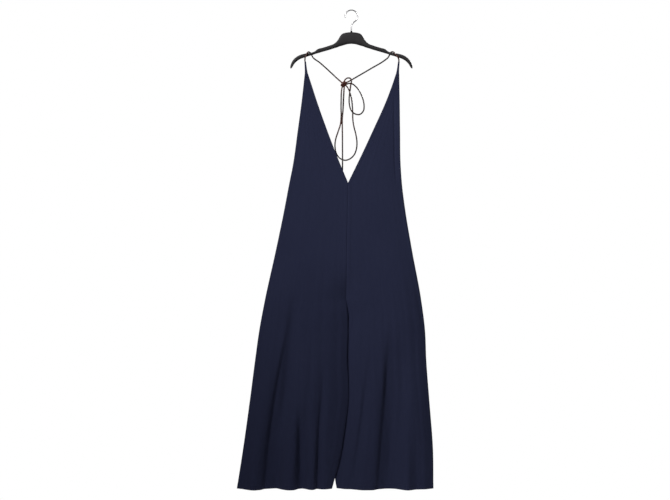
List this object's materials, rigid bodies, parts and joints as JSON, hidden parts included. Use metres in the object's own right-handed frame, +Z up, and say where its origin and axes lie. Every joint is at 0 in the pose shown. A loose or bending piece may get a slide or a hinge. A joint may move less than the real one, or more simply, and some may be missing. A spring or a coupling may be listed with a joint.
{
  "type": "jumpsuit on a hanger",
  "caption": "Sleeveless wide-leg jumpsuit with a plunging V front and low back, hung on a moulded hanger by a leather cord tied in a bow at the back of the neck.",
  "frame": {"origin": "inner crown of the hanger's hook, where it rests on a rail", "axes": "+Z up, +X towards the wearer's left, +Y towards the wearer's back"},
  "size_m": [0.6871, 0.0947, 1.6755],
  "materials": {
    "cloth": "matte navy crepe",
    "cord": "dark reddish-brown round leather cord",
    "hanger": "matte black moulded plastic",
    "hook": "bright wire"
  },
  "bodies": {
    "root": {"front_right": "cloth", "front_left": "cloth", "back_right": "cloth", "back_left": "cloth", "strap_right": "cloth", "strap_left": "cloth", "cord_right": "cord", "cord_left": "cord", "knot": "cord", "loop_small": "cord", "loop_large": "cord", "tail_long": "cord", "tail_short": "cord", "hanger_body": "hanger", "hook_ferrule": "hanger", "hanger_hook": "hook"}
  },
  "joints": []
}
